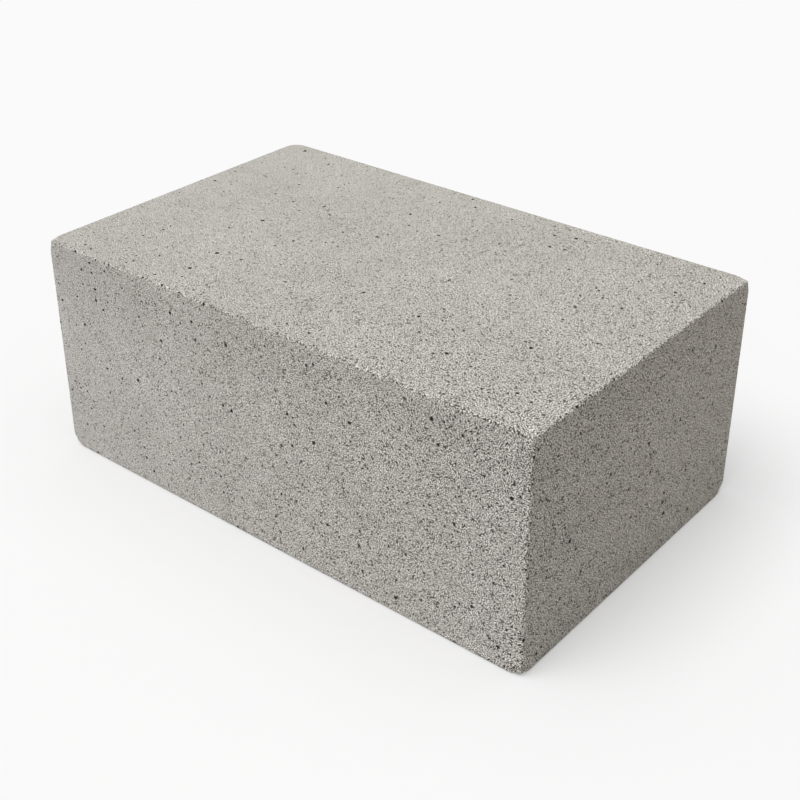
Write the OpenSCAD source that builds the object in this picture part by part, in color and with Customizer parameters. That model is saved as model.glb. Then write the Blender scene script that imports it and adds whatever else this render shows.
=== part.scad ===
// Solid concrete block, cast in one piece.
// The block lies on its bed face: length along X, width along Y, height along Z.
// The origin is the middle of the bed face.

/* [Block] */
// Length of the block
block_length = 390; // [200:1:600]
// Width of the block
block_width = 240; // [100:1:400]
// Height of the block
block_height = 160; // [60:1:300]

/* [Edges] */
// Radius of the four upright corners, left by the mould
corner_radius = 3; // [3:0.5:25]
// Radius of the arris round the top face
top_arris = 2; // [1:0.5:3]
// Radius of the arris round the bed face
bed_arris = 2; // [1:0.5:3]

/* [Finish] */
// Red, green and blue of the dry concrete
concrete_colour = [0.70, 0.69, 0.66]; // [0:0.01:1]

/* [Hidden] */
$fn = 64;
// An arris can't be rounder than the corner that it turns round
top_round = min(top_arris, corner_radius);
bed_round = min(bed_arris, corner_radius);
// Straight runs of the plan between its corners
straight_length = block_length - 2 * corner_radius;
straight_width = block_width - 2 * corner_radius;

// What a rounded corner leaves out of a square one
module spandrel(radius) {
    difference() {
        square(radius);
        translate([radius, radius]) circle(radius);
    }
}

// Upright section across a given span, with its top and bed arrises rounded
module section(span) {
    difference() {
        translate([-span / 2, 0]) square([span, block_height]);
        for (side = [0, 1]) mirror([side, 0]) translate([-span / 2, 0]) {
            spandrel(bed_round);
            translate([0, block_height]) mirror([0, 1]) spandrel(top_round);
        }
    }
}

// One upright corner: the section's edge turned round the corner's own axis
module corner() {
    rotate_extrude() intersection() {
        section(2 * corner_radius);
        square([corner_radius, block_height]);
    }
}

// The whole block: the section run along both straight sides and turned round the four corners
module concrete_block() {
    color(concrete_colour) union() {
        rotate([90, 0, 90]) linear_extrude(straight_length, center = true) section(block_width);
        rotate([90, 0, 0]) linear_extrude(straight_width, center = true) section(block_length);
        for (x = [-1, 1], y = [-1, 1])
            translate([x * straight_length / 2, y * straight_width / 2, 0]) corner();
    }
}

concrete_block();
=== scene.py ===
# %% [markdown]
# # A solid concrete block, dressed for a studio picture
#
# The block is cast in one piece, so there is one solid to dress. The frame holds that solid at its real
# size. It is loaded first and never moved, and the box round it is kept.

# %% Load the frame
import itertools
import math
import random

import bpy
import numpy as np
from mathutils import Euler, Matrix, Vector


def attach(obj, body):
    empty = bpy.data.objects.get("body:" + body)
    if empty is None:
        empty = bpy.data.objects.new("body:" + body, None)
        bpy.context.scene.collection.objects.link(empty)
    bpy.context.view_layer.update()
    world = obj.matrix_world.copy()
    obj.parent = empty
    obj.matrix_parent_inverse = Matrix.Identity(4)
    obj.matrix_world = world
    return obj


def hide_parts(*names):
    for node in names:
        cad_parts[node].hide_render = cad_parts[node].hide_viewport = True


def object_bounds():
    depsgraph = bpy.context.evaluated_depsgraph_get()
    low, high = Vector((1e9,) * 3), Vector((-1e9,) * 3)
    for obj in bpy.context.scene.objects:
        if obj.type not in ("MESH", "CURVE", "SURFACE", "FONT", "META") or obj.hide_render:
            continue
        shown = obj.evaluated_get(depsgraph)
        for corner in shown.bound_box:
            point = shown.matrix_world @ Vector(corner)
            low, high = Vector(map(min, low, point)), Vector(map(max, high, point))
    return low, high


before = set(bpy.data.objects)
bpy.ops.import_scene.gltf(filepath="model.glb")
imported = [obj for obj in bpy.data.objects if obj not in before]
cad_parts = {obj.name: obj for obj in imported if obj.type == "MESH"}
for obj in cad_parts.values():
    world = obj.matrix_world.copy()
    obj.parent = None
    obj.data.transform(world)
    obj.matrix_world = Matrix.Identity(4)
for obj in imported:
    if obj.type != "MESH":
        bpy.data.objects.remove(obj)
cad_low, cad_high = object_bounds()
MM = 0.001
LENGTH, WIDTH, HEIGHT = cad_high - cad_low
print("block", [round(side / MM, 1) for side in (LENGTH, WIDTH, HEIGHT)], "mm")

# %% [markdown]
# ## The camera
#
# A camera can be placed by eye or worked out from the picture. Here the outline and the three edges between
# the visible sides were measured, and a pinhole camera was fitted to them. That gives the angle round the
# block, the angle above the floor, the distance, the lens and a small shift, because the picture's upright
# edges lean in less than a level frame would make them. Two angles and an aim point are easier to read than
# a matrix.

# %% Camera
CAMERA_AZIMUTH = 39.27
CAMERA_ELEVATION = 28.29
CAMERA_DISTANCE = 954.2 * MM
CAMERA_LENS_MM = 61.61
CAMERA_SHIFT_Y = -0.075
NEAREST_SEEN = 10 * MM
AIM_POINT = Vector((-18.2, 33.6, 80.0)) * MM


def direction(azimuth, elevation):
    """The way from the block to a point at these angles in degrees. Azimuth 0 faces the front long side."""
    around = math.radians(azimuth)
    above = math.radians(elevation)
    flat = math.cos(above)
    return Vector((math.sin(around) * flat, -math.cos(around) * flat, math.sin(above)))


def look_along(thing, way):
    """Turns a lamp or a camera so that it looks along a direction."""
    thing.rotation_mode = "QUATERNION"
    thing.rotation_quaternion = way.to_track_quat("-Z", "Y")


bpy.ops.object.camera_add()
camera = bpy.context.object
camera.name = "camera"
camera.data.lens = CAMERA_LENS_MM
camera.data.shift_y = CAMERA_SHIFT_Y
camera.data.clip_start = NEAREST_SEEN
camera.location = AIM_POINT + CAMERA_DISTANCE * direction(CAMERA_AZIMUTH, CAMERA_ELEVATION)
look_along(camera, -direction(CAMERA_AZIMUTH, CAMERA_ELEVATION))
bpy.context.scene.camera = camera
print("camera at", [round(x / MM) for x in camera.location], "mm")

# %% [markdown]
# ## The light
#
# Matt concrete shows its shape only by how bright each side is. In a studio that is set with large soft
# boxes. A sun lamp with a wide angle acts like a soft box that is far away: the floor stays even and the
# shadow stays soft. It is the key, high above the front and a little to the left, so the top is the palest
# side. The fill is a real soft box at the front left, low and slightly blue, and near enough to make the
# left end of the long side a little brighter than the right. It would also burn a pale patch into the
# floor, so it is linked to the block alone, as a flag keeps a real lamp off the floor. The right end gets
# little more than the even light of the world. The key and the world give a level surface a light of about
# 1, so that a colour renders as it is written.

# %% Lamps
KEY_LIGHT = 0.578
KEY_SPREAD = 40
KEY_ANGLES = (-15, 65)
FILL_LIGHT = 0.262
FILL_COLOUR = (0.895, 1.0, 1.235)
FILL_ANGLES = (-35, 5)
FILL_DISTANCE = 1.3
FILL_SIZE = 0.4
# A sun of this strength, or a soft box of these watts a metre away, makes a white surface that faces it 1
SUN_FOR_ONE = math.pi
WATTS_FOR_ONE = math.pi ** 2


def add_lamp(name, kind, angles, distance=0.0):
    """A lamp that looks at the block from an azimuth and an elevation."""
    bpy.ops.object.light_add(type=kind, location=distance * direction(*angles))
    lamp = bpy.context.object
    lamp.name = name
    look_along(lamp, -direction(*angles))
    return lamp


key = add_lamp("key_soft_box", "SUN", KEY_ANGLES)
key.data.energy = KEY_LIGHT * SUN_FOR_ONE
key.data.angle = math.radians(KEY_SPREAD)
fill = add_lamp("fill_soft_box", "AREA", FILL_ANGLES, FILL_DISTANCE)
fill.data.size = FILL_SIZE
fill.data.energy = FILL_LIGHT * WATTS_FOR_ONE
fill.data.color = FILL_COLOUR
lit_by_fill = bpy.data.collections.new("lit_by_fill")
fill.light_linking.receiver_collection = lit_by_fill

# %% World
WORLD_LIGHT = 0.476
WORLD_COLOUR = (1.0, 1.0, 1.0, 1.0)
world = bpy.data.worlds.new("studio")
bpy.context.scene.world = world
world.use_nodes = True
background = world.node_tree.nodes["Background"]
background.inputs["Color"].default_value = WORLD_COLOUR
background.inputs["Strength"].default_value = WORLD_LIGHT
bpy.context.scene.view_settings.view_transform = "Standard"
level_light = WORLD_LIGHT + KEY_LIGHT * math.sin(math.radians(KEY_ANGLES[1]))
print("light on a level surface:", round(level_light, 2))

# %% [markdown]
# ## The floor
#
# The floor is a pale studio sheet. To the camera it is nearly white, a part of that by its own glow, so
# that the shadow on it stays light. Some of the glow fades next to the block, by Ambient Occlusion: a
# painted contact shadow round the block's base. To the light that bounces it is a light grey only, because
# a white floor would light the dark end of the block from below. Light Path tells the two kinds of ray
# apart.

# %% Floor finish
FLOOR_SEEN = (0.562, 0.562, 0.562, 1.0)
FLOOR_GLOW = 0.258
# The part of the glow that fades next to the block, a painted contact shadow
CONTACT_SHADE_GLOW = 0.137
CONTACT_SHADE_REACH = 0.1
FLOOR_BOUNCE = (0.484, 0.450, 0.428, 1.0)


def node(tree, kind, operation=None, **inputs):
    """Adds a shader node and sets the inputs that are given by name, or by number as in1."""
    made = tree.nodes.new(kind)
    if operation:
        made.operation = operation
    for name, value in inputs.items():
        numbered = name[:2] == "in" and name[2:].isdigit()
        socket = made.inputs[int(name[2:]) if numbered else name]
        if isinstance(value, bpy.types.NodeSocket):
            tree.links.new(value, socket)
        else:
            socket.default_value = value
    return made


def maths(tree, operation, a, b=0.0):
    return node(tree, "ShaderNodeMath", operation, in0=a, in1=b).outputs[0]


def floor_finish():
    finish = bpy.data.materials.new("studio_floor")
    finish.use_nodes = True
    tree = finish.node_tree
    tree.nodes.clear()
    path = node(tree, "ShaderNodeLightPath").outputs
    lit = node(tree, "ShaderNodeBsdfDiffuse", Color=FLOOR_SEEN).outputs[0]
    # Painted contact shadow: the glow fades next to the block by Ambient Occlusion
    contact_shade = node(tree, "ShaderNodeAmbientOcclusion", Distance=CONTACT_SHADE_REACH).outputs["AO"]
    strength = maths(tree, "ADD", FLOOR_GLOW, maths(tree, "MULTIPLY", contact_shade, CONTACT_SHADE_GLOW))
    glow = node(tree, "ShaderNodeEmission", Strength=strength).outputs[0]
    seen = node(tree, "ShaderNodeAddShader", in0=lit, in1=glow).outputs[0]
    bounce = node(tree, "ShaderNodeBsdfDiffuse", Color=FLOOR_BOUNCE).outputs[0]
    in_view = maths(tree, "MAXIMUM", path["Is Camera Ray"], path["Is Glossy Ray"])
    in_view = maths(tree, "MAXIMUM", in_view, path["Is Transmission Ray"])
    mixed = node(tree, "ShaderNodeMixShader", in0=in_view, in1=bounce, in2=seen).outputs[0]
    node(tree, "ShaderNodeOutputMaterial", Surface=mixed)
    return finish


sheet = floor_finish()
print("finish:", sheet.name, len(sheet.node_tree.nodes), "nodes")

# %% Floor
FLOOR_SIZE = 40.0
bpy.ops.object.select_all(action="DESELECT")
bpy.ops.mesh.primitive_plane_add(size=FLOOR_SIZE)
floor = bpy.context.object
floor.name = "floor"
floor.data.materials.append(sheet)
print("floor", FLOOR_SIZE, "m")

# %% [markdown]
# ## The blank: the block as it leaves the mould
#
# The mould gives a box with slightly rounded edges. A cube is added at the block's size, its four upright
# edges are bevelled first, then the loops round the top and the bed, so that the corners come out as in the
# mould. The back left corner has been knocked about and is worn rounder than the others.

# %% A cube at the block's size
bpy.ops.object.select_all(action="DESELECT")
bpy.ops.mesh.primitive_cube_add(size=1, location=(cad_low + cad_high) / 2)
block = bpy.context.object
block.name = "concrete_block_cast"
lit_by_fill.objects.link(block)
block.scale = (LENGTH, WIDTH, HEIGHT)
bpy.ops.object.transform_apply(location=True, rotation=True, scale=True)
print("cube:", len(block.data.edges), "edges")

# %% Upright edges
UPRIGHT_RADIUS = 2.0 * MM
WORN_RADIUS = 11.0 * MM
ARRIS_STEPS = 4
WORN_STEPS = 10
EVEN_CORNERS = ((1, -1), (-1, -1), (1, 1))
WORN_CORNER = (-1, 1)
ROUND_PROFILE = 0.5


def select_edges(mesh, wanted):
    """In edit mode, selects the edges whose two ends pass a test, and counts them."""
    bpy.ops.mesh.select_mode(type="EDGE")
    bpy.ops.mesh.select_all(action="DESELECT")
    bpy.ops.object.mode_set(mode="OBJECT")
    count = 0
    for edge in mesh.edges:
        a, b = (mesh.vertices[i].co for i in edge.vertices)
        edge.select = wanted(a, b)
        count += edge.select
    bpy.ops.object.mode_set(mode="EDIT")
    return count


def round_edges(mesh, radius, steps, wanted):
    count = select_edges(mesh, wanted)
    bpy.ops.mesh.bevel(offset=radius, segments=steps, profile=ROUND_PROFILE, affect="EDGES")
    print("rounded", count, "edges by", radius / MM, "mm")


def upright_at(side_x, side_y):
    return lambda a, b: abs(a.z - b.z) > HEIGHT / 2 and a.x * side_x > 0 and a.y * side_y > 0


bpy.ops.object.mode_set(mode="EDIT")
for corner in EVEN_CORNERS:
    round_edges(block.data, UPRIGHT_RADIUS, ARRIS_STEPS, upright_at(*corner))
round_edges(block.data, WORN_RADIUS, WORN_STEPS, upright_at(*WORN_CORNER))

# %% Top and bed arrises
TOP_RADIUS = 1.6 * MM
BED_RADIUS = 2.0 * MM
TOUCHING = 0.001 * MM


def level_at(height):
    return lambda a, b: abs(a.z - height) < TOUCHING and abs(b.z - height) < TOUCHING


round_edges(block.data, TOP_RADIUS, ARRIS_STEPS, level_at(cad_high.z))
round_edges(block.data, BED_RADIUS, ARRIS_STEPS, level_at(cad_low.z))
bpy.ops.object.mode_set(mode="OBJECT")
print("blank:", len(block.data.polygons), "faces")

# %% [markdown]
# ## A net of small faces
#
# Only a fine mesh can carry relief. Cutting all edges that run along one axis, then the next, lays a net of
# nearly square faces over every side, and the arrises are cut along with it. A cast side is never quite
# flat: a soft cloud pattern then presses the net inwards by a tenth of a millimetre, never outwards, so
# that the block keeps its size.

# %% Net
NET_STEP = 8.0 * MM
LONG_SHARE = 0.5
STRAIGHT_SHARE = 0.999


def cut_along(mesh, axis, span):
    """Cuts every edge that runs along an axis into steps of about the net's size."""
    def runs_along(a, b):
        step = b - a
        reach = abs(step[axis])
        return reach > LONG_SHARE * span and reach > STRAIGHT_SHARE * step.length
    select_edges(mesh, runs_along)
    bpy.ops.mesh.subdivide(number_cuts=round(span / NET_STEP) - 1)


bpy.ops.object.mode_set(mode="EDIT")
for axis, span in enumerate((LENGTH, WIDTH, HEIGHT)):
    cut_along(block.data, axis, span)
bpy.ops.object.mode_set(mode="OBJECT")
print("net:", len(block.data.polygons), "faces")

# %% Mould waves
WAVE_SIZE = 28.0 * MM
WAVE_DEPTH = 0.12 * MM


def apply_modifier(thing, modifier):
    bpy.ops.object.select_all(action="DESELECT")
    bpy.context.view_layer.objects.active = thing
    thing.select_set(True)
    bpy.ops.object.modifier_apply(modifier=modifier.name)


waves = bpy.data.textures.new("mould_waves", "CLOUDS")
waves.noise_scale = WAVE_SIZE
press = block.modifiers.new("mould_waves", "DISPLACE")
press.texture = waves
press.texture_coords = "LOCAL"
press.mid_level = 1.0
press.strength = WAVE_DEPTH
apply_modifier(block, press)
print("waves:", WAVE_DEPTH / MM, "mm deep at most")

# %% [markdown]
# ## Worn corners
#
# The tips are knocked first and wear rounder than the edges between them, most of all where the block is
# set down. A tip is worn by pulling its few points inwards with proportional editing: the points round it
# follow, less and less with their distance. The net is cut finer there first, so that it bends smoothly.

# %% Finer net at the tips
TIP_FINE = 11.0 * MM
TIP_CUTS = 2
TIP_WEAR = {cad_high.z: 1.2 * MM, cad_low.z: 1.9 * MM}
tips = [
    Vector((x, y, z))
    for x in (cad_low.x, cad_high.x)
    for y in (cad_low.y, cad_high.y)
    for z in TIP_WEAR
]


def select_points(mesh, wanted):
    """In edit mode, selects the points that pass a test, and counts them."""
    bpy.ops.mesh.select_mode(type="VERT")
    bpy.ops.mesh.select_all(action="DESELECT")
    bpy.ops.object.mode_set(mode="OBJECT")
    count = 0
    for point in mesh.vertices:
        point.select = wanted(point.co)
        count += point.select
    bpy.ops.object.mode_set(mode="EDIT")
    return count


def near_a_tip(place):
    return min((place - tip).length for tip in tips) < TIP_FINE


bpy.ops.object.mode_set(mode="EDIT")
fine_points = select_points(block.data, near_a_tip)
bpy.ops.mesh.subdivide(number_cuts=TIP_CUTS)
print("points near the tips:", fine_points)

# %% Worn tips
TIP_POINTS = 2.6 * MM
TIP_REACH = 7.0 * MM


def wear(tip):
    """Pulls one tip inwards. The worn corner is round already and has no points here."""
    count = select_points(block.data, lambda place: (place - tip).length < TIP_POINTS)
    middle = Vector((0, 0, (cad_low.z + cad_high.z) / 2))
    inward = Vector([1 if a < b else -1 for a, b in zip(tip, middle)]).normalized()
    if count:
        bpy.ops.transform.translate(
            value=TIP_WEAR[tip.z] * inward,
            use_proportional_edit=True,
            proportional_edit_falloff="SMOOTH",
            proportional_size=TIP_REACH,
        )
    return count


worn = [wear(tip) for tip in tips]
bpy.ops.object.mode_set(mode="OBJECT")
print("points pulled in at each tip:", worn)

# %% [markdown]
# ## Air bubbles
#
# Air bubbles lie against the mould while the concrete sets, and each leaves a pit, 1 to 3 mm wide. Along
# the arrises single grains have broken out. Pushing faces in would tie the pits to the net, so they are cut
# the way they formed: a few lumpy bubbles are modelled here, to be copied into the skin and taken away from
# the block. Most pits are so small in the picture that plain bubbles of few faces do for them.

# %% Bubble shapes
BUBBLE_SHAPES = 8
FINE_SUBDIVISIONS = 2
PLAIN_SUBDIVISIONS = 1
LUMP_DEPTH = 0.24
LUMP_SPREAD = 0.3


def lumpy_bubble(number, subdivisions):
    """One bubble of radius 1 with an uneven skin, as points and faces."""
    bpy.ops.object.select_all(action="DESELECT")
    bpy.ops.mesh.primitive_ico_sphere_add(subdivisions=subdivisions, radius=1)
    bubble = bpy.context.object
    bpy.ops.object.mode_set(mode="EDIT")
    bpy.ops.mesh.select_all(action="SELECT")
    bpy.ops.transform.vertex_random(offset=LUMP_DEPTH, uniform=LUMP_SPREAD, seed=number)
    bpy.ops.object.mode_set(mode="OBJECT")
    points = np.array([v.co for v in bubble.data.vertices])
    faces = np.array([p.vertices for p in bubble.data.polygons])
    bpy.ops.object.delete()
    return points, faces


fine_bubbles = [lumpy_bubble(number, FINE_SUBDIVISIONS) for number in range(BUBBLE_SHAPES)]
plain_bubbles = [lumpy_bubble(number, PLAIN_SUBDIVISIONS) for number in range(BUBBLE_SHAPES)]
print("bubbles of", len(fine_bubbles[0][1]), "and", len(plain_bubbles[0][1]), "faces")

# %% [markdown]
# ## Where the pits lie
#
# Air is trapped against the walls of the mould, so the long sides and the ends have more pits than the top
# and the bed. Placing them by hand would take a day, so each side gets a number that goes with its area, at
# random places and of random sizes. A bubble that would touch another is left out, which keeps the cut
# closed. To find its neighbours quickly, space is sorted into small cells.

# %% A place for a bubble
PIT_SEED = 11
CELL = 4.0 * MM
APART = 1.55
BUBBLE_STRETCH = (0.7, 1.3)
chance = random.Random(PIT_SEED)
taken = {}
bubbles = []


def is_clear(place, radius):
    """True if a bubble here would touch no other. Keeps its place if so."""
    home = tuple(math.floor(x / CELL) for x in place)
    for step in itertools.product((-1, 0, 1), repeat=3):
        cell = tuple(a + b for a, b in zip(home, step))
        for other, reach in taken.get(cell, ()):
            if (other - place).length < APART * (reach + radius):
                return False
    taken.setdefault(home, []).append((place, radius))
    return True


def add_bubble(place, radius):
    stretch = Vector([chance.uniform(*BUBBLE_STRETCH) for _ in range(3)])
    turn = Euler([chance.uniform(0, math.tau) for _ in range(3)]).to_matrix()
    if is_clear(place, radius * max(stretch)):
        bubbles.append((place, radius, stretch, turn))


print("cells along the block:", round(LENGTH / CELL))

# %% Pits
PIT_MIDDLE_RADIUS = 0.68 * MM
PIT_SPREAD = 0.28
PIT_RADII = (0.45 * MM, 1.3 * MM)
PIT_SINK = (-0.15, 0.2)
PIT_MARGIN = 2.2 * UPRIGHT_RADIUS
# Pits on a square metre of the low and the high side of each axis
PITS_ON_SIDES = ((9000, 9000), (12000, 12000), (5500, 5500))


def pit_side(axis, level, inward, per_square_metre):
    """Bubbles over one flat side of the block, kept off its arrises."""
    others = [i for i in range(3) if i != axis]
    area = (cad_high[others[0]] - cad_low[others[0]]) * (cad_high[others[1]] - cad_low[others[1]])
    for _ in range(round(per_square_metre * area)):
        radius = PIT_MIDDLE_RADIUS * math.exp(chance.gauss(0, PIT_SPREAD))
        radius = min(max(radius, PIT_RADII[0]), PIT_RADII[1])
        place = Vector((0, 0, 0))
        for i in others:
            place[i] = chance.uniform(cad_low[i] + PIT_MARGIN, cad_high[i] - PIT_MARGIN)
        place[axis] = level + inward * radius * chance.uniform(*PIT_SINK)
        add_bubble(place, radius)


for axis, (on_low, on_high) in enumerate(PITS_ON_SIDES):
    pit_side(axis, cad_low[axis], 1, on_low)
    pit_side(axis, cad_high[axis], -1, on_high)
pit_count = len(bubbles)
print("pits:", pit_count)

# %% [markdown]
# ## Broken grains along the arrises
#
# An arris of dry concrete isn't a clean line: the outer grains of sand rub off. The same small bubbles are
# strewn along all twelve arrises, each with its middle on the rounding, so that every one bites a little
# out of it.

# %% Broken grains
CRUMBS_PER_METRE = 380
CRUMB_RADII = (0.35 * MM, 1.2 * MM)
CRUMB_SPREAD = 0.55


def arris_radius(along, signs):
    if along == 2:
        return WORN_RADIUS if signs == WORN_CORNER else UPRIGHT_RADIUS
    return TOP_RADIUS if signs[1] > 0 else BED_RADIUS


def crumble_arris(along, signs):
    """Grains broken out along one of the twelve arrises."""
    others = [i for i in range(3) if i != along]
    rounding = arris_radius(along, signs)
    for _ in range(round(CRUMBS_PER_METRE * (cad_high[along] - cad_low[along]))):
        radius = CRUMB_RADII[0] * math.exp(abs(chance.gauss(0, CRUMB_SPREAD)))
        radius = min(radius, CRUMB_RADII[1])
        turn = chance.uniform(0, math.pi / 2)
        place = Vector((0, 0, 0))
        place[along] = chance.uniform(cad_low[along], cad_high[along])
        for i, sign, reach in zip(others, signs, (math.sin(turn), math.cos(turn))):
            edge = cad_high[i] if sign > 0 else cad_low[i]
            place[i] = edge - sign * rounding * (1 - reach)
        add_bubble(place, radius)


for along in range(3):
    for signs in itertools.product((-1, 1), repeat=2):
        crumble_arris(along, signs)
print("crumbs:", len(bubbles) - pit_count)

# %% [markdown]
# ## The cut
#
# Thousands of cuts one by one would take hours, so all bubbles are joined into one mesh and taken away in
# one Boolean step. The bubbles have a finish of their own, a painted shade, which the step hands on to the
# walls of the pits.

# %% Cut the pits
FINE_FROM_RADIUS = 0.95 * MM
cast_finish = bpy.data.materials.new("cast_concrete")
pit_shade_finish = bpy.data.materials.new("pit_wall_painted_shade")


def joined_bubbles():
    """All bubbles as one mesh, so that one Boolean step cuts them."""
    points = []
    faces = []
    count = 0
    for number, (place, radius, stretch, turn) in enumerate(bubbles):
        shapes = fine_bubbles if radius > FINE_FROM_RADIUS else plain_bubbles
        shape_points, shape_faces = shapes[number % BUBBLE_SHAPES]
        points.append((shape_points * np.array(stretch)) @ np.array(turn).T * radius + np.array(place))
        faces.extend((shape_faces + count).tolist())
        count += len(shape_points)
    mesh = bpy.data.meshes.new("bubbles")
    mesh.from_pydata(np.concatenate(points), [], faces)
    mesh.materials.append(pit_shade_finish)
    cutter = bpy.data.objects.new("bubbles", mesh)
    bpy.context.scene.collection.objects.link(cutter)
    return cutter


block.data.materials.append(cast_finish)
cutter = joined_bubbles()
cut = block.modifiers.new("air_pits", "BOOLEAN")
cut.operation = "DIFFERENCE"
cut.solver = "MANIFOLD"
cut.material_mode = "TRANSFER"
cut.object = cutter
apply_modifier(block, cut)
bpy.data.objects.remove(cutter)
triangles = sum(len(p.vertices) - 2 for p in block.data.polygons)
print("cut block:", triangles, "triangles, finishes", [m.name for m in block.data.materials])

# %% [markdown]
# ## Crisp shading
#
# Smooth shading would bend the light over the whole first row of faces beside an arris, and the block would
# look swollen. The rims of the pits are kept sharp by angle, and a Weighted Normal modifier lets the large
# flat faces decide, so that only the narrow arris turns the light.

# %% Shading
SHARP_FROM = math.radians(35)
LARGE_FACES_DECIDE = 100
bpy.ops.object.shade_smooth_by_angle(angle=SHARP_FROM)
weigh = block.modifiers.new("flat_sides", "WEIGHTED_NORMAL")
weigh.mode = "FACE_AREA"
weigh.weight = LARGE_FACES_DECIDE
weigh.keep_sharp = True
apply_modifier(block, weigh)
print("shaded:", len(block.data.vertices), "points")

# %% [markdown]
# ## The sand in the skin
#
# Dry-cast concrete is sand held by a little grey cement: pale grains about a millimetre wide with darker
# cement between them. Modelled grains would take millions of faces, so the sand is a noise on Object
# coordinates, which runs round the arrises without a seam. A noise is built on a grid, and its pattern is
# finest where it is cut right through that grid. The grid's step is therefore one that every side of the
# block lies on.

# %% Sand
SAND_SIZE = 5 / 7 * MM
SAND_LEVELS = (0.37, 0.60)
GRAIN_SIZE = 1.25 * MM
GRAIN_TONES = (0.95, 1.05)
ONE_LAYER = 0.0


def noise(tree, coords, size, detail):
    return node(tree, "ShaderNodeTexNoise", Vector=coords, Scale=1 / size, Detail=detail).outputs["Fac"]


def spread(tree, value, low, high, to_low, to_high):
    """Stretches a value from one range to another and holds it there."""
    made = node(tree, "ShaderNodeMapRange", Value=value)
    for name, number in (("From Min", low), ("From Max", high), ("To Min", to_low), ("To Max", to_high)):
        made.inputs[name].default_value = number
    return made.outputs[0]


def sand_pattern(tree, coords):
    """Height of the sand, from 0 to 1."""
    return spread(tree, noise(tree, coords, SAND_SIZE, ONE_LAYER), *SAND_LEVELS, 0.0, 1.0)


def grain_pattern(tree, coords):
    """A tone of its own for each larger grain."""
    grains = node(tree, "ShaderNodeTexVoronoi", Vector=coords, Scale=1 / GRAIN_SIZE)
    pick = node(tree, "ShaderNodeSeparateColor", Color=grains.outputs["Color"]).outputs[0]
    return spread(tree, pick, 0.0, 1.0, *GRAIN_TONES)


print("steps of sand out to each side:", [round(x / SAND_SIZE, 2) for x in cad_high])

# %% [markdown]
# ## Gaps and pinholes
#
# Short dark gaps lie between the grains, more of them in some places than in others, and the skin has
# pinholes too small to model. The gaps are the low spots of a second noise, raised and lowered in clusters;
# they are dark partly with their cement and partly with painted shade. The pinholes are painted shade: dark
# spots where the holes would be. For the pinholes Voronoi cells give round spots that keep apart, and only
# some of the cells have one. A cell's own colour goes with the place of its spot, so White Noise makes a
# fair pick of it. The sand makes the rims ragged.

# %% Gaps and pinholes
GAP_LEVELS = (0.34, 0.385)
# Another part of the noise, whole steps of its grid away
GAP_PLACE = (50 * MM, 35 * MM, 45 * MM)
CLUSTER_SIZE = 6.0 * MM
CLUSTER_SHARE = 0.08
THREE_LAYERS = 2.0
# Spacing of the cells, and the share of them that have a pinhole
WIDE_PINHOLES = (2.0 * MM, 0.38)
FINE_PINHOLES = (1.5 * MM, 0.22)
PINHOLE_REACH = (0.24, 0.44)
PINHOLE_RIM = 0.03
RAGGED = (1.35, 0.65)


def gap_cement_and_shade(tree, coords):
    """1 on the sand and 0 in the short dark gaps between the grains, which come in clusters. They are dark
    partly with their cement and partly with painted shade.
    """
    place = node(tree, "ShaderNodeVectorMath", "ADD", in0=coords, in1=GAP_PLACE).outputs[0]
    cluster = noise(tree, coords, CLUSTER_SIZE, THREE_LAYERS)
    cluster = spread(tree, cluster, 0.0, 1.0, -CLUSTER_SHARE, CLUSTER_SHARE)
    level = maths(tree, "ADD", noise(tree, place, SAND_SIZE, ONE_LAYER), cluster)
    return spread(tree, level, *GAP_LEVELS, 0.0, 1.0)


def pinhole_painted_shade(tree, coords, sand, spacing, share):
    """1 on the skin and 0 in small round holes, a painted shade whose rims follow the sand."""
    cells = node(tree, "ShaderNodeTexVoronoi", Vector=coords, Scale=1 / spacing)
    pick = node(tree, "ShaderNodeTexWhiteNoise", Vector=cells.outputs["Color"]).outputs["Value"]
    chosen = maths(tree, "LESS_THAN", pick, share)
    reach = maths(tree, "MULTIPLY", chosen, spread(tree, pick, 0.0, share, *PINHOLE_REACH))
    ragged = maths(tree, "MULTIPLY", reach, spread(tree, sand, 0.0, 1.0, *RAGGED))
    outside = maths(tree, "SUBTRACT", cells.outputs["Distance"], ragged)
    return spread(tree, outside, -PINHOLE_RIM, PINHOLE_RIM, 0.0, 1.0)


print("pinhole cells:", [round(spacing / MM, 1) for spacing, _ in (WIDE_PINHOLES, FINE_PINHOLES)], "mm")

# %% [markdown]
# ## Broad tones
#
# Over a whole side the concrete isn't even. The sand shows most at the front right corner and least at the
# back left one. Soft mottling comes from uneven drying. The arrises are painted a little darker, a painted
# shade against the light their rounding catches, and the sides are painted darker under the top arris, a
# painted shade too. Painting these on by hand would need a picture, so they are worked out from the place
# on the block and from the way the surface faces.

# %% Broad tones
COARSE_ALONG = 1.4
COARSE_ACROSS = -0.6
COARSE_WAY = (COARSE_ALONG / LENGTH, COARSE_ACROSS / WIDTH, 0.0)
COARSENESS = (0.3, 1.0)
NOISE_RANGE = (0.3, 0.7)
MOTTLE_SIZE = 60 * MM
MOTTLE_TONES = (0.96, 1.04)
BLOTCH_SIZE = 14 * MM
BLOTCH_TONES = (0.97, 1.03)
ARRIS_TURN = (0.75, 0.98)
# Painted shade on the arrises, against the light that their rounding catches
ARRIS_PAINTED_SHADE = 0.94
# Painted shade: the sides are darker in a band under the top arris
TOP_BAND_DEPTH = 60 * MM
TOP_BAND_PAINTED_SHADE = 0.925
UPRIGHT_TURN = (0.3, 0.9)


def coarseness(tree, coords):
    """How strongly the sand shows: most at the front right corner, least at the back left one."""
    along = node(tree, "ShaderNodeVectorMath", "DOT_PRODUCT", in0=coords, in1=COARSE_WAY)
    return spread(tree, along.outputs["Value"], -1.0, 1.0, *COARSENESS)


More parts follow.
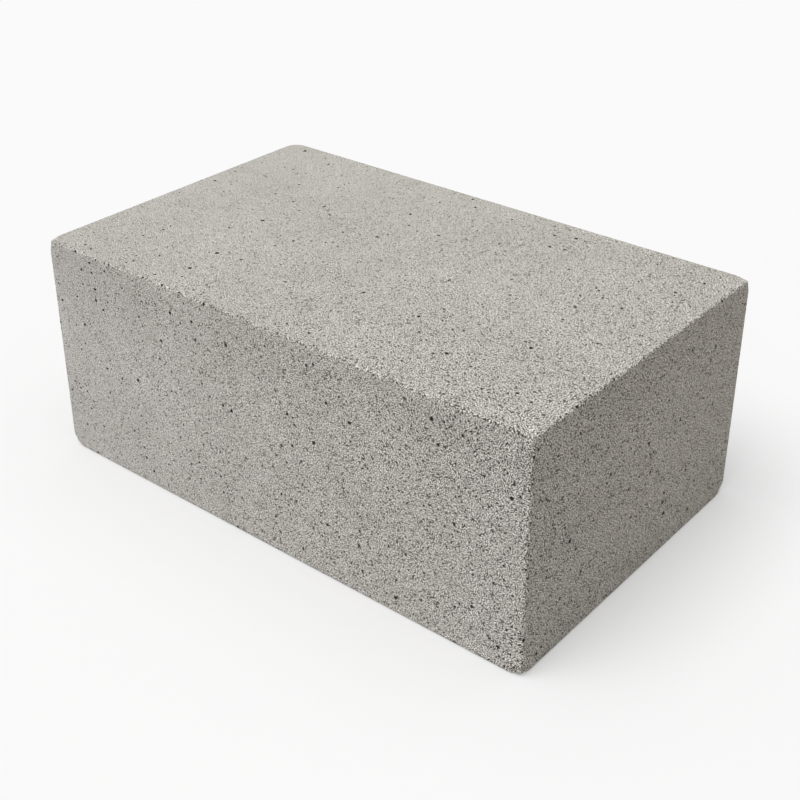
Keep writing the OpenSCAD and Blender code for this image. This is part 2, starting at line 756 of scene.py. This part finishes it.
def patches(tree, coords, size, tones):
    """Soft paler and darker patches."""
    return spread(tree, noise(tree, coords, size, THREE_LAYERS), *NOISE_RANGE, *tones)


def facing(tree):
    """How squarely the surface faces along each of the three axes, from 0 to 1."""
    normal = node(tree, "ShaderNodeTexCoord").outputs["Normal"]
    square = node(tree, "ShaderNodeVectorMath", "ABSOLUTE", in0=normal).outputs[0]
    return node(tree, "ShaderNodeSeparateXYZ", Vector=square).outputs


def arris_painted_shade(tree):
    """1 on the flat sides, less where the surface turns round an arris: painted shade against the light its
    rounding catches.
    """
    x, y, z = facing(tree)
    most = maths(tree, "MAXIMUM", maths(tree, "MAXIMUM", x, y), z)
    return spread(tree, most, *ARRIS_TURN, ARRIS_PAINTED_SHADE, 1.0)


def top_band_painted_shade(tree, coords):
    """1 low on the four sides and on the top, less on the sides under the top arris: painted shade."""
    height = node(tree, "ShaderNodeSeparateXYZ", Vector=coords).outputs["Z"]
    band = spread(tree, height, HEIGHT - TOP_BAND_DEPTH, HEIGHT, 0.0, TOP_BAND_PAINTED_SHADE - 1.0)
    upright = spread(tree, facing(tree)["Z"], *UPRIGHT_TURN, 1.0, 0.0)
    return maths(tree, "ADD", maths(tree, "MULTIPLY", band, upright), 1.0)


print("tones: arris", ARRIS_PAINTED_SHADE, "painted shade band", TOP_BAND_PAINTED_SHADE)

# %% [markdown]
# ## The concrete finish
#
# Now the patterns are put together. The fine ones are multiplied into one shade, which is drawn towards 1
# where the sand shows less, and the broad tones follow. The shade drives the colour: pale grains are a
# little cooler, the gaps a little warmer, and dust keeps them from going black. The low sand is dark partly
# with its cement and partly with painted shade of the hollows between the grains. The bump could have a
# pattern of its own, but the same sand, gaps and pinholes make it, so that what is dark is also deep, as on
# the real surface.

# %% Concrete finish
CONCRETE_COLOUR = (0.521, 0.502, 0.459)
PALE_TINT = (-0.012, 0.0, 0.028)
DARKEST = (0.022, 0.021, 0.018)
# Tones of the sand: its low spots are dark partly with cement and partly with painted shade
SAND_TONES_AND_SHADE = (0.38, 1.92)
GRAIN_RELIEF = 0.20 * MM
CONCRETE_ROUGHNESS = 0.92
CONCRETE_SHINE = 0.25


def open_finish(finish):
    """Switches on the nodes of a finish. Gives its tree, its surface and the Object coordinates."""
    finish.use_nodes = True
    tree = finish.node_tree
    coords = node(tree, "ShaderNodeTexCoord").outputs["Object"]
    return tree, tree.nodes["Principled BSDF"], coords


def tinted(tree, shade):
    """The colour of the concrete at a shade. At 1 it is the colour as written."""
    tint = Vector(PALE_TINT)
    slope = Vector(CONCRETE_COLOUR) + tint
    colour = node(tree, "ShaderNodeVectorMath", "MULTIPLY_ADD", in0=shade, in1=slope, in2=-tint).outputs[0]
    return node(tree, "ShaderNodeVectorMath", "MAXIMUM", in0=colour, in1=DARKEST).outputs[0]


def dress_concrete(finish):
    tree, surface, coords = open_finish(finish)
    sand = sand_pattern(tree, coords)
    # The gaps are dark partly with cement and partly with painted shade
    gaps = gap_cement_and_shade(tree, coords)
    # The pinholes are painted shade
    wide = pinhole_painted_shade(tree, coords, sand, *WIDE_PINHOLES)
    fine = pinhole_painted_shade(tree, coords, sand, *FINE_PINHOLES)
    skin = maths(tree, "MULTIPLY", gaps, maths(tree, "MULTIPLY", wide, fine))
    # Low sand is darker: partly the cement's colour, partly painted shade
    shade = spread(tree, sand, 0.0, 1.0, *SAND_TONES_AND_SHADE)
    shade = maths(tree, "MULTIPLY", shade, grain_pattern(tree, coords))
    shade = maths(tree, "MULTIPLY", shade, skin)
    coarse = coarseness(tree, coords)
    shade = maths(tree, "MULTIPLY", maths(tree, "SUBTRACT", shade, 1.0), coarse)
    shade = maths(tree, "ADD", shade, 1.0)
    # The last two layers are painted shade: on the arrises, and on the sides under the top arris
    for layer in (
        patches(tree, coords, MOTTLE_SIZE, MOTTLE_TONES),
        patches(tree, coords, BLOTCH_SIZE, BLOTCH_TONES),
        arris_painted_shade(tree),
        top_band_painted_shade(tree, coords),
    ):
        shade = maths(tree, "MULTIPLY", shade, layer)
    tree.links.new(tinted(tree, shade), surface.inputs["Base Color"])
    relief = maths(tree, "MULTIPLY", sand, skin)
    bump = node(tree, "ShaderNodeBump", Height=relief, Strength=coarse, Distance=GRAIN_RELIEF)
    tree.links.new(bump.outputs[0], surface.inputs["Normal"])
    surface.inputs["Roughness"].default_value = CONCRETE_ROUGHNESS
    surface.inputs["Specular IOR Level"].default_value = CONCRETE_SHINE


dress_concrete(cast_finish)
print("finish:", cast_finish.name, len(cast_finish.node_tree.nodes), "nodes")

# %% [markdown]
# ## The walls of the pits
#
# The inside of a pit is in shade. The shade of the depth alone would be too weak in pits this shallow, so
# the walls have a finish of their own, a painted shade: the same grey, much darker, in soft patches.

# %% Pit finish
# Painted shade inside the pits: a much darker grey
PIT_PAINTED_SHADE = (0.060, 0.057, 0.052)
PIT_PATCH = 0.8 * MM
PIT_TONES = (0.6, 1.5)
PIT_ROUGHNESS = 0.95
PIT_SHINE = 0.1


def dress_pit_shade(finish):
    tree, surface, coords = open_finish(finish)
    patch = patches(tree, coords, PIT_PATCH, PIT_TONES)
    colour = node(tree, "ShaderNodeVectorMath", "SCALE", in0=PIT_PAINTED_SHADE, Scale=patch).outputs[0]
    tree.links.new(colour, surface.inputs["Base Color"])
    surface.inputs["Roughness"].default_value = PIT_ROUGHNESS
    surface.inputs["Specular IOR Level"].default_value = PIT_SHINE


dress_pit_shade(pit_shade_finish)
print("finish:", pit_shade_finish.name, len(pit_shade_finish.node_tree.nodes), "nodes")

# %% [markdown]
# ## A flat map of the six sides
#
# A model that leaves Blender takes its colours along as a picture, and a picture needs a flat map of the
# block. An automatic unwrap would cut every pit wall out on its own. A block unfolds better: each face is
# laid flat on the side of the box that it is nearest to, and the six sides are packed into one square.

# %% Map
MAP_GAP = 4.0 * MM
MAP_SIZE = LENGTH + 2 * HEIGHT + 2 * MAP_GAP
COLUMN = LENGTH + MAP_GAP
ROW = WIDTH + MAP_GAP
# Each side: the axis it faces, 0 for its low or 1 for its high end, the axes across and up, and its corner
SIDES = (
    (2, 1, 0, 1, (0.0, 0.0)),
    (2, 0, 0, 1, (0.0, ROW)),
    (1, 0, 0, 2, (0.0, 2 * ROW)),
    (1, 1, 2, 0, (COLUMN, 0.0)),
    (0, 0, 1, 2, (COLUMN, COLUMN)),
    (0, 1, 1, 2, (COLUMN, COLUMN + HEIGHT + MAP_GAP)),
)


def read(items, name, kind, width=1):
    """One property of all items as an array."""
    values = np.empty(len(items) * width, kind)
    items.foreach_get(name, values)
    return values.reshape(-1, width) if width > 1 else values


def lay_flat(mesh):
    """Lays each face on its side of the map, and counts the face corners on each side."""
    ends = (np.array(cad_low), np.array(cad_high))
    centres = read(mesh.polygons, "center", float, 3)
    gaps = np.stack([abs(centres[:, axis] - ends[end][axis]) for axis, end, *_ in SIDES], 1)
    side = np.repeat(gaps.argmin(1), read(mesh.polygons, "loop_total", int))
    points = read(mesh.vertices, "co", float, 3)[read(mesh.loops, "vertex_index", int)] - ends[0]
    flat = np.empty((len(points), 2))
    for number, (_, _, across, up, corner) in enumerate(SIDES):
        here = side == number
        flat[here] = (points[here][:, (across, up)] + np.array(corner)) / MAP_SIZE
    for layer in list(mesh.uv_layers):
        mesh.uv_layers.remove(layer)
    mesh.uv_layers.new(name="OFBake").data.foreach_set("uv", flat.ravel())
    return np.bincount(side, minlength=len(SIDES))


print("map corners on each side:", lay_flat(block.data).tolist())

# %% [markdown]
# ## Dress the block
#
# The dressed block stands for the plain solid of the frame and rides on the same body.

# %% Hand over
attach(block, "root")
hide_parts("concrete_block")
